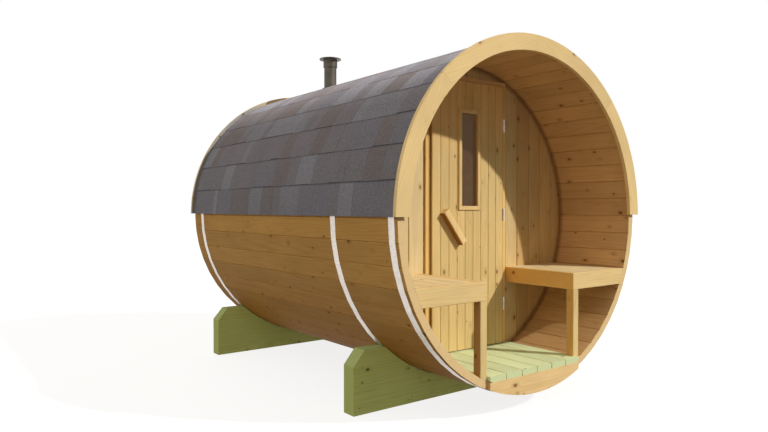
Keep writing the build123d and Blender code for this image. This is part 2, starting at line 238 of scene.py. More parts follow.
def painted_shade_wall_corner(tree, outputs):
    """1 on the inside, close to the front wall, where shade in the corner is painted."""
    away = calc(tree, "SUBTRACT", component(tree, outputs["Object"], "Y"), wall_face)
    near = ease(tree, calc(tree, "ABSOLUTE", away), corner_width, 0.0)
    return calc(tree, "MULTIPLY", near, calc(tree, "SUBTRACT", 1.0, outer_face(tree, outputs)))


def painted_shade_low_outside(tree, outputs):
    """1 low on the outside of the barrel, where shade is painted."""
    height = component(tree, outputs["Object"], "Z")
    return calc(tree, "MULTIPLY", outer_face(tree, outputs), ease(tree, height, low_from, low_full))


def stave_joints(tree, outputs):
    """1 in the joints inside, and a small share in those outside."""
    away = calc(tree, "PINGPONG", round_angle(tree, outputs["Object"]), math.pi / stave_count)
    strength = calc(tree, "MULTIPLY_ADD", outer_face(tree, outputs), joint_fade_outside, 1.0)
    return calc(tree, "MULTIPLY", ease(tree, away, joint_edge, joint_core), strength)


stave_wood = softwood(
    "stave_wood", linear(219, 179, 128), linear(190, 144, 91), linear(92, 52, 24), "Y", staves_round,
    tone=0.14, end=linear(246, 217, 162), shine=0.06, knots=15.0,
    marks=[
        # The outside tint is painted shade, and the tint low on the outside paints deeper shade.
        (outer_face, (0.845, 0.722, 0.39)), (painted_shade_low_outside, (0.82, 0.68, 0.44)),
        # The tint close to the front wall is painted shade in that corner.
        (stave_joints, (0.89, 0.83, 0.76)), (painted_shade_wall_corner, (0.6, 0.5, 0.42)),
    ],
)
dress([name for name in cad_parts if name.startswith("staves_")], stave_wood)

# Hoops: flat steel bands with a zinc skin, drawn round the staves before the roof goes on.
# The zinc is bright, with a faint spangle and soft stains.


def zinc(name, colour, rough):
    material, tree = bare_material(name)
    place = node(tree, "ShaderNodeTexCoord").outputs["Object"]
    spangle = node(tree, "ShaderNodeTexVoronoi", {"Vector": place, "Scale": 90.0}).outputs["Color"]
    flake = component(tree, spangle, "X")
    stain = noise(tree, place, 9.0, 4.0)
    shade = calc(tree, "MULTIPLY_ADD", flake, 0.16, calc(tree, "MULTIPLY_ADD", stain, 0.3, 0.77))
    tint = scaled(tree, colour[:3], shade)
    gloss = calc(tree, "MULTIPLY_ADD", stain, 0.25, rough)
    relief = bump(tree, stain, 0.08, 0.001)
    surface(tree, {"Base Color": tint, "Metallic": 0.75, "Roughness": gloss, "Normal": relief})
    return material


zinc_band = zinc("zinc_band", linear(231, 223, 216), 0.3)
dress(["hoops"], zinc_band)

# End walls: upright tongue and groove boards with eased edges, cut round to fit inside the staves.
# The front one stands back from the opening and makes way for the door frame.
# The rear one closes the barrel, and is the same boarding without an opening.
wall_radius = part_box("rear_wall")[1].x
wall_edge = 0.005
board_pitch = 0.117
board_slices = 9
rim_width = 0.04
jamb_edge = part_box("door_frame_left")[0].x
jamb_from, jamb_full = 0.014, 0.006
door_side_from, door_side_full = 0.5, 0.4
wall_joint = 0.0045


def tree_for(name, **sockets):
    """An empty geometry tree with one named input for each size."""
    tree = bpy.data.node_groups.new(name, "GeometryNodeTree")
    for label, value in sockets.items():
        kind = "NodeSocketInt" if isinstance(value, int) else "NodeSocketFloat"
        tree.interface.new_socket(label, in_out="INPUT", socket_type=kind).default_value = value
    tree.interface.new_socket("Geometry", in_out="OUTPUT", socket_type="NodeSocketGeometry")
    return tree, node(tree, "NodeGroupInput").outputs


def keep(tree, geometry, name, value, **settings):
    """Stores a value with the geometry, under a name."""
    sockets = {"Geometry": geometry, "Name": name, "Value": value}
    return node(tree, "GeometryNodeStoreNamedAttribute", sockets, data_type="FLOAT", **settings).outputs[0]


def unit_blocks(tree, count, slices):
    """Unit blocks cut into slices along X, which keep their number as rank, and that number."""
    block = {"Size": (1.0, 1.0, 1.0), "Vertices X": slices, "Vertices Y": 2, "Vertices Z": 2}
    unit = node(tree, "GeometryNodeMeshCube", block).outputs[0]
    points = node(tree, "GeometryNodePoints", {"Count": count}).outputs[0]
    rank = node(tree, "GeometryNodeInputIndex").outputs[0]
    laid = node(tree, "GeometryNodeInstanceOnPoints", {"Points": points, "Instance": unit}).outputs[0]
    return keep(tree, laid, "rank", rank, domain="INSTANCE"), rank


def own_places(tree, laid):
    """The blocks as one mesh, the rank of each point's block, and the point's place in the unit block."""
    loose = node(tree, "GeometryNodeRealizeInstances", {0: laid}).outputs[0]
    own = node(tree, "GeometryNodeInputNamedAttribute", {"Name": "rank"}, data_type="FLOAT").outputs[0]
    position = node(tree, "GeometryNodeInputPosition").outputs[0]
    return loose, own, node(tree, "ShaderNodeSeparateXYZ", {0: position}).outputs


def close_tree(tree, shapes, material):
    whole = node(tree, "GeometryNodeRealizeInstances", {0: shapes}).outputs[0]
    painted = node(tree, "GeometryNodeSetMaterial", {"Geometry": whole, "Material": material}).outputs[0]
    node(tree, "NodeGroupOutput", {0: painted})


def moved_to(tree, geometry, x, y, z):
    place = node(tree, "ShaderNodeCombineXYZ", {0: x, 1: y, 2: z}).outputs[0]
    return node(tree, "GeometryNodeSetPosition", {"Geometry": geometry, "Position": place}).outputs[0]


def piece_from(name, tree, *many):
    """One plain mesh piece from a tree, with one set of sizes for each time that it is used."""
    mesh = bpy.data.meshes.new(name)
    piece = bpy.data.objects.new(name, mesh)
    bpy.context.scene.collection.objects.link(piece)
    sockets = {item.name: item.identifier for item in tree.interface.items_tree if item.in_out == "INPUT"}
    parts = []
    for sizes in many:
        carrier = bpy.data.objects.new(name + "_making", bpy.data.meshes.new(name + "_making"))
        bpy.context.scene.collection.objects.link(carrier)
        grower = carrier.modifiers.new("grower", "NODES")
        grower.node_group = tree
        for label, value in sizes.items():
            grower[sockets[label]] = value
        ready = carrier.evaluated_get(bpy.context.evaluated_depsgraph_get())
        parts.append(bpy.data.objects.new(name + "_part", bpy.data.meshes.new_from_object(ready)))
        carrier.modifiers.remove(grower)
        bpy.data.objects.remove(carrier)
    piece.data = parts[0].data
    for part in parts:
        bpy.context.scene.collection.objects.link(part)
    if len(parts) > 1:
        with bpy.context.temp_override(active_object=piece, selected_editable_objects=[piece] + parts[1:]):
            bpy.ops.object.join()
    bpy.data.objects.remove(parts[0])
    return piece


def recolour(piece, material):
    piece.data.materials.clear()
    piece.data.materials.append(material)


boarding, size = tree_for(
    "boarding", boards=8, first=0.0, pitch=board_pitch, left=-1.0, right=1.0, low=0.0, high=1.0,
    radius=9.0, axis=axis_height, face=0.0, thickness=0.042, chamfer=0.0045, groove=0.005, gap=0.0006,
)
laid, _ = unit_blocks(boarding, size["boards"], board_slices)
loose, own, spot = own_places(boarding, laid)
start = calc(boarding, "MULTIPLY_ADD", own, size["pitch"], size["first"])
stop = calc(boarding, "MINIMUM", calc(boarding, "ADD", start, size["pitch"]), size["right"])
start = calc(boarding, "ADD", calc(boarding, "MAXIMUM", start, size["left"]), size["gap"])
width = calc(boarding, "SUBTRACT", stop, start)
# The two outermost rows of points make the eased edges; those between are spread over the flat face.
ease_share = calc(boarding, "DIVIDE", size["chamfer"], width)
flat_share = calc(boarding, "MULTIPLY_ADD", ease_share, -2.0, 1.0)
inner = calc(boarding, "DIVIDE", calc(boarding, "MULTIPLY_ADD", spot[0], 8.0, 3.0), 6.0, clamp=True)
inner = calc(boarding, "MULTIPLY_ADD", inner, flat_share, ease_share)
rim = calc(boarding, "GREATER_THAN", calc(boarding, "ABSOLUTE", spot[0]), 0.49)
across = calc(boarding, "ADD", spot[0], 0.5)
across = calc(boarding, "MULTIPLY_ADD", rim, calc(boarding, "SUBTRACT", across, inner), inner)
x = calc(boarding, "MULTIPLY_ADD", across, width, start)
depth = calc(boarding, "ADD", spot[1], 0.5)
sunk = calc(boarding, "MULTIPLY", rim, size["groove"])
y = calc(boarding, "MULTIPLY_ADD", depth, size["thickness"], size["face"])
y = calc(boarding, "MULTIPLY_ADD", sunk, calc(boarding, "MULTIPLY_ADD", depth, -2.0, 1.0), y)
# Each board ends on the round of the staves, or at a straight cut.
square = calc(boarding, "POWER", size["radius"], 2.0)
reach = calc(boarding, "SQRT", calc(boarding, "SUBTRACT", square, calc(boarding, "POWER", x, 2.0)))
top = calc(boarding, "MINIMUM", calc(boarding, "ADD", size["axis"], reach), size["high"])
foot = calc(boarding, "MAXIMUM", calc(boarding, "SUBTRACT", size["axis"], reach), size["low"])
up = calc(boarding, "ADD", spot[2], 0.5)
z = calc(boarding, "MULTIPLY_ADD", up, calc(boarding, "SUBTRACT", top, foot), foot)


def joints_along(axis, start, pitch, half_width):
    """1 in the joints between boards that lie side by side along one axis."""

    def share(tree, outputs):
        along = calc(tree, "SUBTRACT", component(tree, outputs["Object"], axis), start)
        return ease(tree, calc(tree, "PINGPONG", along, pitch / 2), half_width, half_width / 3)

    return share


def painted_shade_wall_rim(tree, outputs):
    """1 where the wall meets the staves, where shade in that corner is painted."""
    return ease(tree, from_axis(tree, outputs), wall_radius - rim_width, wall_radius)


def painted_jamb_shadow(tree, outputs):
    """1 on the boards close beside the left jamb, where the jamb's shadow is painted."""
    along = component(tree, outputs["Object"], "X")
    return ease(tree, along, jamb_edge - jamb_from, jamb_edge - jamb_full)


def painted_sunlight_door_side(tree, outputs):
    """1 on the front wall, from just past the doorway's right side to the left, where sunlight is painted as a
    paler tint.
    """
    near = ease(tree, component(tree, outputs["Object"], "X"), door_side_from, door_side_full)
    return calc(tree, "MULTIPLY", near, calc(tree, "LESS_THAN", component(tree, outputs["Object"], "Y"), 0.0))


wall_boards = boards_along("X", wall_edge, board_pitch)
wall_joints = (joints_along("X", wall_edge, board_pitch, wall_joint), (0.64, 0.55, 0.46))
# Two copies of one board wood: wall_wood is darkened as painted shade for the shaded boards, and the paler copy on
# the boards left of the doorway is painted sunlight.
wall_wood = softwood(
    "wall_wood", linear(216, 182, 124), linear(190, 148, 88), linear(92, 52, 24), "Z", wall_boards,
    tone=0.14, end=linear(226, 190, 130), knots=15.0,
    # The rim tint is painted shade where the wall meets the staves.
    # The tint beside the doorway is painted sunlight.
    marks=[wall_joints, (painted_shade_wall_rim, (0.55, 0.45, 0.38)), (painted_sunlight_door_side, (1.03, 1.16, 1.36))],
)
sunlit_left_wall_wood = softwood(
    "sunlit_left_wall_wood", linear(229, 209, 160), linear(214, 184, 130), linear(124, 80, 38), "Z", wall_boards,
    # The tint beside the jamb is the jamb's painted shadow.
    tone=0.08, end=linear(226, 190, 130), knots=15.0, marks=[wall_joints, (painted_jamb_shadow, (0.45, 0.33, 0.2))],
)
close_tree(boarding, moved_to(boarding, loose, x, y, z), wall_wood)


def wall_sizes(name):
    low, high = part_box(name)
    first = wall_edge + board_pitch * math.floor((low.x - wall_edge) / board_pitch)
    lip = 0.0008
    thinnest = 0.05
    return {
        "boards": math.ceil((high.x - first) / board_pitch - thinnest), "first": first, "pitch": board_pitch,
        "left": max(low.x, lip - wall_radius), "right": min(high.x, wall_radius - lip),
        "low": low.z, "high": high.z, "radius": wall_radius, "axis": axis_height,
        "face": low.y, "thickness": high.y - low.y,
    }


for name in ("front_wall_left", "front_wall_right", "front_wall_header", "rear_wall"):
    boards = piece_from(name + "_boards", boarding, wall_sizes(name))
    if name == "front_wall_left":
        recolour(boards, sunlit_left_wall_wood)
    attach(boards, "sauna")
    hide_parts(name)
dress(["front_wall_base"], wall_wood)

# Floor: six planed boards side by side on scribed joists, on the terrace and in the room behind the door.
# Only the deck of the terrace is treated, with a thin green stain; the short fascia board under its front
# ends is plain pale wood. Zinc screws hold the deck boards at both ends.
deck_low, deck_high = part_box("deck_boards")
deck_gap = 0.006
deck_pitch = (deck_high.x - deck_low.x + deck_gap) / 6
deck_planks = boards_along("X", deck_low.x - deck_gap / 2, deck_pitch)
deck_wood = softwood(
    "deck_wood", linear(225, 237, 190), linear(206, 219, 163), linear(120, 110, 60), "Y", deck_planks,
    tone=0.06, end=linear(222, 228, 176), rough=0.72,
)
dress(["deck_boards"], deck_wood)

head_height = 0.0012
head_corners = 14
screwing, size = tree_for(
    "screwing", columns=6, rows=2, first=0.0, step=0.1, second=0.0, stride=0.1, level=0.0, forward=0.0,
    radius=0.004,
)
head_sizes = {
    "Vertices": head_corners, "Radius Top": calc(screwing, "MULTIPLY", size["radius"], 0.7),
    "Radius Bottom": size["radius"], "Depth": head_height,
}
head = node(screwing, "GeometryNodeMeshCone", head_sizes).outputs[0]
screw_count = calc(screwing, "MULTIPLY", size["columns"], size["rows"])
places = node(screwing, "GeometryNodePoints", {"Count": screw_count}).outputs[0]
rank = calc(screwing, "ADD", node(screwing, "GeometryNodeInputIndex").outputs[0], 0.01)
screw_row = calc(screwing, "FLOOR", calc(screwing, "DIVIDE", rank, size["columns"]))
before = calc(screwing, "MULTIPLY", screw_row, size["columns"])
screw_column = calc(screwing, "FLOOR", calc(screwing, "SUBTRACT", rank, before))
x = calc(screwing, "MULTIPLY_ADD", screw_column, size["step"], size["first"])
along = calc(screwing, "MULTIPLY_ADD", screw_row, size["stride"], size["second"])
flat_spot = node(screwing, "ShaderNodeCombineXYZ", {0: x, 1: along, 2: size["level"]}).outputs[0]
front_spot = node(screwing, "ShaderNodeCombineXYZ", {0: x, 1: size["level"], 2: along}).outputs[0]
choice = {0: size["forward"], 4: flat_spot, 5: front_spot}
spot = node(screwing, "ShaderNodeMix", choice, data_type="VECTOR").outputs[1]
tilt = calc(screwing, "MULTIPLY", size["forward"], math.pi / 2)
turn = node(screwing, "ShaderNodeCombineXYZ", {0: tilt}).outputs[0]
placed = node(screwing, "GeometryNodeSetPosition", {"Geometry": places, "Position": spot}).outputs[0]
heads = {"Points": placed, "Instance": head, "Rotation": turn}
screws = node(screwing, "GeometryNodeInstanceOnPoints", heads).outputs[0]
screw_zinc = zinc("screw_zinc", linear(206, 205, 204), 0.32)
close_tree(screwing, screws, screw_zinc)


def screw_piece(name, *many):
    piece = piece_from(name, screwing, *many)
    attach(piece, "sauna")


screw_sink = 0.0006
from_end = 0.036
from_left, from_right = 0.03, 0.036
screw_piece("deck_screws", *[
    {"first": deck_low.x + offset, "step": deck_pitch, "second": deck_low.y + from_end,
     "stride": deck_high.y - deck_low.y - 2 * from_end, "level": deck_high.z - screw_sink}
    for offset in (from_left, deck_pitch - from_right)
])
floor_wood = softwood(
    "floor_wood", linear(224, 184, 122), linear(190, 140, 82), linear(104, 62, 28), "Y", deck_planks, tone=0.16,
)
dress(["floor_boards"], floor_wood)
cross_wood = softwood(
    "cross_wood", linear(236, 204, 146), linear(214, 172, 110), linear(104, 60, 26), "X",
    boards_along("Y", far_out, 0.05), tone=0.14, end=linear(222, 184, 124),
)
dress(["floor_joists", "front_fascia"], cross_wood)

# Door frame: rebated softwood jambs and head, with a sill, planted round the opening in the front wall.
# Its face stands a little before the wall's boards, and the stop behind the leaf is part of each piece.
leaf_low, leaf_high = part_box("door_leaf")
leaf_gap = 0.006
half_opening = -leaf_low.x + leaf_gap
edge_from, edge_full = 0.012, 0.006


def painted_leaf_shadow_edge(tree, outputs):
    """1 on the edge of the jambs beside the leaf, where the leaf's shadow is painted."""
    away = calc(tree, "ABSOLUTE", component(tree, outputs["Object"], "X"))
    return ease(tree, away, half_opening + edge_from, half_opening + edge_full)


frame_wood = softwood(
    "frame_wood", linear(238, 202, 128), linear(214, 170, 98), linear(104, 60, 26), "Z",
    boards_along("X", far_out, 0.3), tone=0.1, end=linear(216, 176, 112),
    # The edge tint is the leaf's painted shadow on the jambs.
    marks=[(painted_leaf_shadow_edge, (0.5, 0.36, 0.22))],
)
dress(["door_frame_left", "door_frame_right"], frame_wood)
dress(["door_frame_head", "door_sill"], cross_wood)

# Door leaf: nine upright tongue and groove boards, clamped into one flat leaf, with a tall window let in.
# The three middle boards stop above and below the window, and narrow strips run beside the glass.
glass_low, glass_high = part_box("window_glass")
plank = (leaf_high.x - leaf_low.x) / 9
plank_joint = 0.0035
plank_groove = 0.0028
wide_chamfer, strip_chamfer = 0.0035, 0.002
top_from, top_full = 1.4, 1.7


def painted_warm_light_leaf_top(tree, outputs):
    """1 towards the top of the leaf, where warm light in its shade is painted."""
    return ease(tree, component(tree, outputs["Object"], "Z"), top_from, top_full)


door_wood = softwood(
    "door_wood", linear(227, 200, 139), linear(207, 171, 108), linear(112, 70, 32), "Z",
    boards_along("X", leaf_low.x, plank), tone=0.08, end=linear(224, 186, 124), knots=15.0,
    marks=[
        # The top tint is painted light: warmer, brighter wood on the shaded top of the leaf.
        (joints_along("X", leaf_low.x, plank, plank_joint), (0.84, 0.78, 0.68)), (painted_warm_light_leaf_top, (1.16, 1.06, 0.97)),
    ],
)


def planks(boards, left, right, low, high, chamfer=wide_chamfer):
    return {
        "boards": boards, "first": left, "pitch": (right - left) / boards, "left": left, "right": right,
        "low": low, "high": high, "face": leaf_low.y, "thickness": leaf_high.y - leaf_low.y,
        "chamfer": chamfer, "groove": plank_groove,
    }


clear = 0.0003
beside = 1.5 * plank
sill, lintel = glass_low.z - clear, glass_high.z + clear
door_boards = piece_from(
    "door_boards", boarding,
    planks(3, leaf_low.x, -beside, leaf_low.z, leaf_high.z),
    planks(3, beside, leaf_high.x, leaf_low.z, leaf_high.z),
    planks(3, -beside, beside, leaf_low.z, sill),
    planks(3, -beside, beside, lintel, leaf_high.z),
    planks(1, -beside, glass_low.x - clear, sill, lintel, strip_chamfer),
    planks(1, glass_high.x + clear, beside, sill, lintel, strip_chamfer),
)
recolour(door_boards, door_wood)
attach(door_boards, "door")
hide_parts("door_leaf")

# Window: one pane of bronze glass in the leaf, held by a planed frame on each face.
# The glass is dark against the unlit room and only faintly mirrors what is before it.
# A weak glow of its own brings it to the tone of the photograph.
window_wood = softwood(
    "window_wood", linear(240, 208, 145), linear(217, 175, 110), linear(120, 76, 36), "Z",
    boards_along("X", far_out, 0.11), tone=0.08, knots=3.0,
)
dress(["window_frame"], window_wood)
bronze_glass, tree = bare_material("bronze_glass")
place = node(tree, "ShaderNodeTexCoord").outputs["Object"]
haze = noise(tree, place, 14.0, 5.0)
film = blend(tree, ease(tree, haze, 0.35, 0.75), linear(72, 53, 37), linear(80, 61, 45))
smear = calc(tree, "MULTIPLY_ADD", haze, 0.12, 0.03)
own_glow = {"Emission Color": linear(87, 65, 45), "Emission Strength": 0.6}
surface(tree, {"Base Color": film, "Roughness": smear, "IOR": 1.5, "Alpha": 0.94, **own_glow})
dress(["window_glass"], bronze_glass)

# Handle: one block of planed wood, set slantwise on the leaf and screwed from behind, with eased edges.
# Its lower left side, turned away from the light, has a darker tint than its front: painted shade.
lower_left = (-0.79, 0, -0.61)


def painted_shade_lower_left(tree, outputs):
    sockets = {0: outputs["Normal"], 1: lower_left}
    facing = node(tree, "ShaderNodeVectorMath", sockets, operation="DOT_PRODUCT").outputs["Value"]
    return ease(tree, facing, 0.75, 0.95)


handle_wood = softwood(
    "handle_wood", linear(246, 217, 156), linear(226, 188, 122), linear(110, 66, 30), "Z",
    boards_along("X", far_out, 0.9), tone=0.05, rough=0.5, knots=2.0,
    # The tint on the lower left side is painted shade.
    marks=[(painted_shade_lower_left, (0.35, 0.21, 0.1))],
)
dress(["door_handle"], handle_wood)

# Hinges: three steel butt hinges with a zinc skin, screwed to the right jamb and to the leaf's edge.
# Each plate on the jamb has three small screws, one above the other.
hinge_zinc = zinc("hinge_zinc", linear(250, 248, 246), 0.36)
dress(["frame_hinges", "door_hinges"], hinge_zinc)
hinge_low, hinge_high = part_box("frame_hinges")
hinge_half = 0.04
hinge_middles = (hinge_low.z + hinge_half, (hinge_low.z + hinge_high.z) / 2, hinge_high.z - hinge_half)
plate_thickness = 0.0015
plate_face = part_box("door_frame_right")[0].y - plate_thickness
plate_sink = 0.0003
screw_spacing = 0.027
from_plate_edge = 0.01
screw_piece("hinge_screws", *[
    {"columns": 1, "rows": 3, "first": hinge_high.x - from_plate_edge, "second": middle - screw_spacing,
     "stride": screw_spacing, "level": plate_face + plate_sink, "forward": 1.0, "radius": 0.0035}
    for middle in hinge_middles
])

# Benches: a slatted seat at each side of the terrace, on bearers between the front rail and the wall.
# The corner post stands on the staves, and the front rail is scribed to them; all of it is planed softwood.
bench_wood = softwood(
    "bench_wood", linear(242, 223, 176), linear(225, 197, 146), linear(124, 80, 40), "Y",
    boards_along("X", far_out, 0.105), tone=0.08, end=linear(224, 186, 124),
)


def painted_shade_left_face(tree, outputs):
    """1 on the faces that look left, where shade is painted."""
    return ease(tree, component(tree, outputs["Normal"], "X"), -0.5, -0.9)


def painted_shade_left_post_face(tree, outputs):
    """1 on the face of the left post that looks left, where deeper shade is painted."""
    across = component(tree, outputs["Object"], "X")
    return calc(tree, "MULTIPLY", painted_shade_left_face(tree, outputs), calc(tree, "LESS_THAN", across, 0.0))


post_wood = softwood(
    "post_wood", linear(229, 203, 141), linear(206, 169, 104), linear(104, 60, 26), "Z",
    boards_along("X", far_out, 0.4), tone=0.12, end=linear(218, 180, 118),
    # Both tints on the faces that look left are painted shade.
    marks=[(painted_shade_left_face, (0.94, 0.71, 0.51)), (painted_shade_left_post_face, (0.68, 0.77, 0.86))],
)
rail_wood = softwood(
    "rail_wood", linear(240, 210, 148), linear(222, 182, 118), linear(112, 68, 32), "X",
    # The tint on the faces that look left is painted shade.
    boards_along("X", far_out, 1.0), tone=0.06, marks=[(painted_shade_left_face, (0.98, 0.8, 0.56))],
)
dress(["bench_posts"], post_wood)
slat_gap = 0.002
slat_left, slat_right = 0.03, 0.032
slat_end = 0.02
seat_screws = []
for side in ("left", "right"):
    dress([f"{side}_bench_seat"], bench_wood)
    dress([f"{side}_bench_rails", f"{side}_bench_bearers"], rail_wood)
    seat_low, seat_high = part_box(f"{side}_bench_seat")
    slat_pitch = (seat_high.x - seat_low.x + slat_gap) / 4
    for offset in (slat_left, slat_pitch - slat_right):
        seat_screws.append({
            "columns": 4, "first": seat_low.x + offset, "step": slat_pitch, "second": seat_low.y + slat_end,
            "stride": seat_high.y - seat_low.y - 2 * slat_end, "level": seat_high.z - screw_sink,
        })
screw_piece("seat_screws", *seat_screws)

# Arch trims: curved boards sawn from wide planks and jointed end to end over the ends of the staves.
# They cover the edge of the roofing, and the grain of each runs straight across its own curve.
arch_low, arch_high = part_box("front_arch_trim")
arch_width = 0.09
arch_start = math.asin((arch_low.z - axis_height) / (arch_high.x - arch_width))
arch_step = (math.pi - 2 * arch_start) / 4
roof_side_from, roof_side_full = 2.05, 1.9


def arch_segment(tree, place):
    """Numbers the segments of a trim round the arch."""
    height = calc(tree, "SUBTRACT", component(tree, place, "Z"), axis_height)
    angle = calc(tree, "ARCTAN2", height, component(tree, place, "X"))
    return calc(tree, "FLOOR", calc(tree, "DIVIDE", calc(tree, "SUBTRACT", angle, arch_start), arch_step))


def along_segment(tree, place):
    """Turns each segment of a trim until its plank lies along X."""
    middle = calc(tree, "ADD", arch_segment(tree, place), 0.5)
    angle = calc(tree, "MULTIPLY_ADD", middle, arch_step, arch_start + math.pi / 2)
    sockets = {"Vector": place, "Center": (0, 0, axis_height), "Angle": angle}
    return node(tree, "ShaderNodeVectorRotate", sockets, rotation_type="Y_AXIS").outputs[0]


def roof_side(tree, outputs):
    """1 on the face that looks forward over the roof, fading out towards the ridge."""
    facing = ease(tree, component(tree, outputs["Normal"], "Y"), -0.6, -0.9)
    height = component(tree, outputs["Object"], "Z")
    return calc(tree, "MULTIPLY", facing, ease(tree, height, roof_side_from, roof_side_full))


for name, marks in (("front", []), ("rear", [(roof_side, (0.45, 0.6, 1.2))])):
    arch_wood = softwood(
        name + "_arch_wood", linear(238, 208, 148), linear(226, 190, 130), linear(128, 84, 40), "X",
        arch_segment, tone=0.05, knots=13.0, marks=marks, turn=along_segment,
    )
    dress([name + "_arch_trim"], arch_wood)

# Roof: bitumen shingles in eight lapped courses a side, each tab thickest at its lower edge.
# Their mineral granules are slate grey, with browner and bluer tabs mixed in.
# They are nailed to the staves, and a row of bent caps covers the ridge.
course_count = 8
tab_slices = 6
butt = 0.0075
tab_gap = 0.0004
cap_length = 0.25
tab_colours = [
    (117, 114, 124), (126, 124, 133), (115, 107, 109), (120, 115, 121), (120, 106, 105), (131, 129, 139),
    (109, 108, 117),
]


def granules(name, tone, lap):
    """Shingle granules; tone picks a tab's shade from 0 to 1, and lap is 1 at the head of each tab, where the
    shadow of the next course is painted, and in the dark joints between ridge caps.

    Towards the ridge they are paler, the left slope more than the right, which is painted light fitted to the
    photograph.
    """
    material, tree = bare_material(name)
    place = node(tree, "ShaderNodeTexCoord").outputs["Object"]
    shades = node(tree, "ShaderNodeValToRGB", {"Fac": tone(tree, place)})
    shades.color_ramp.interpolation = "CONSTANT"
    for order, colour in enumerate(tab_colours):
        stop = shades.color_ramp.elements[order] if order < 2 else shades.color_ramp.elements.new(0.5)
        stop.position = order / len(tab_colours)
        stop.color = linear(*colour)
    grit = node(tree, "ShaderNodeTexVoronoi", {"Vector": place, "Scale": 620.0}).outputs
    speck = component(tree, grit["Color"], "X")
    cloud = noise(tree, place, 5.0, 4.0)
    patch = noise(tree, place, 130.0, 3.0)
    shade = calc(tree, "MULTIPLY_ADD", speck, 0.4, calc(tree, "MULTIPLY_ADD", cloud, 0.3, 0.05))
    shade = calc(tree, "MULTIPLY_ADD", patch, 1.2, shade)
    height = component(tree, place, "Z")
    # Painted light: paler towards the ridge, more on the left slope than the right.
    right_slope = ease(tree, component(tree, place, "X"), -0.05, 0.3)
    paler = calc(tree, "MULTIPLY_ADD", right_slope, -1.1, 1.5)
    paler = calc(tree, "MULTIPLY_ADD", ease(tree, height, 1.65, 2.05), paler, 0.95)
    shade = calc(tree, "MULTIPLY", shade, paler)
    # Darker where lap is 1: painted shadow on the tabs, dark joints on the ridge caps.
    shade = calc(tree, "MULTIPLY", shade, calc(tree, "MULTIPLY_ADD", lap(tree, place, height), -0.6, 1.0))
    colour = scaled(tree, shades.outputs[0], shade)
    relief = bump(tree, grit["Distance"], 0.6, 0.0015, invert=True)
    surface(tree, {"Base Color": colour, "Roughness": 0.92, "Normal": relief})
    return material


def tab_tone(tree, place):
    return node(tree, "ShaderNodeAttribute", attribute_name="tone").outputs["Fac"]


# Painted shadow: the head of each tab is darkened below the next course's lower edge, less towards the ridge.
def painted_tab_head_shadow(tree, place, height):
    up_tab = node(tree, "ShaderNodeAttribute", attribute_name="up_tab").outputs["Fac"]
    return calc(tree, "MULTIPLY", ease(tree, up_tab, 0.925, 0.975), ease(tree, height, 1.95, 1.55))


def cap_tone(tree, place):
    number = boards_along("Y", far_out, cap_length)(tree, place)
    return node(tree, "ShaderNodeTexWhiteNoise", {"W": number}, noise_dimensions="1D").outputs["Value"]


def cap_lap(tree, place, height):
    along = calc(tree, "ADD", component(tree, place, "Y"), -far_out)
    return ease(tree, calc(tree, "PINGPONG", along, cap_length / 2), 0.006, 0.002)


def draw(tree, low, high, number, seed):
    """A random value from low to high, always the same for the same number and seed."""
    sockets = {2: low, 3: high, 7: number, 8: seed}
    return node(tree, "FunctionNodeRandomValue", sockets, data_type="FLOAT").outputs[1]


shingle = granules("shingle", tab_tone, painted_tab_head_shadow)
ridge_shingle = granules("ridge_shingle", cap_tone, cap_lap)
shingling, size = tree_for(
    "shingling", courses=course_count, tabs=16, start=0.0, step=0.18, length=2.5, radius=1.0, axis=axis_height,
    butt=butt, head=0.004, gap=tab_gap, jitter=0.33, seed=4,
)
count = calc(shingling, "MULTIPLY", size["courses"], size["tabs"])
laid, rank = unit_blocks(shingling, count, tab_slices)
laid = keep(shingling, laid, "tone", draw(shingling, 0.0, 0.999, rank, size["seed"]), domain="INSTANCE")
loose, own, spot = own_places(shingling, laid)
course = calc(shingling, "FLOOR", calc(shingling, "DIVIDE", calc(shingling, "ADD", own, 0.5), size["tabs"]))
tab = calc(shingling, "SUBTRACT", own, calc(shingling, "MULTIPLY", course, size["tabs"]))
# Along the roof, the joints between tabs wander, apart from the first and the last.
line = calc(shingling, "ADD", tab, calc(shingling, "ADD", spot[1], 0.5))
after_first = calc(shingling, "GREATER_THAN", line, 0.5)
before_last = calc(shingling, "LESS_THAN", line, calc(shingling, "SUBTRACT", size["tabs"], 0.5))
inside = calc(shingling, "MULTIPLY", after_first, before_last)
mark = calc(shingling, "ROUND", calc(shingling, "MULTIPLY_ADD", course, 100.0, line))
wander = calc(shingling, "MULTIPLY", draw(shingling, -1.0, 1.0, mark, size["seed"]), size["jitter"])
wander = calc(shingling, "MULTIPLY", wander, inside)
along = calc(shingling, "DIVIDE", calc(shingling, "ADD", line, wander), size["tabs"])
y = calc(shingling, "MULTIPLY", calc(shingling, "SUBTRACT", along, 0.5), size["length"])
y = calc(shingling, "MULTIPLY_ADD", spot[1], calc(shingling, "MULTIPLY", size["gap"], -2.0), y)
# Round the roof, each tab's lower edge slips a little, apart from those of the lowest course.
rise = calc(shingling, "ADD", spot[0], 0.5)
own_step = calc(shingling, "SUBTRACT", size["step"], size["gap"])
angle = calc(shingling, "MULTIPLY_ADD", course, size["step"], calc(shingling, "MULTIPLY", rise, own_step))
angle = calc(shingling, "ADD", size["start"], angle)
slip = draw(shingling, 0.0, 0.05, own, seed=23)
slip = calc(shingling, "MULTIPLY", slip, calc(shingling, "GREATER_THAN", course, 0.5))
slip = calc(shingling, "MULTIPLY", slip, size["step"])
slip = calc(shingling, "MULTIPLY", slip, calc(shingling, "SUBTRACT", 1.0, rise))
angle = calc(shingling, "SUBTRACT", angle, slip)
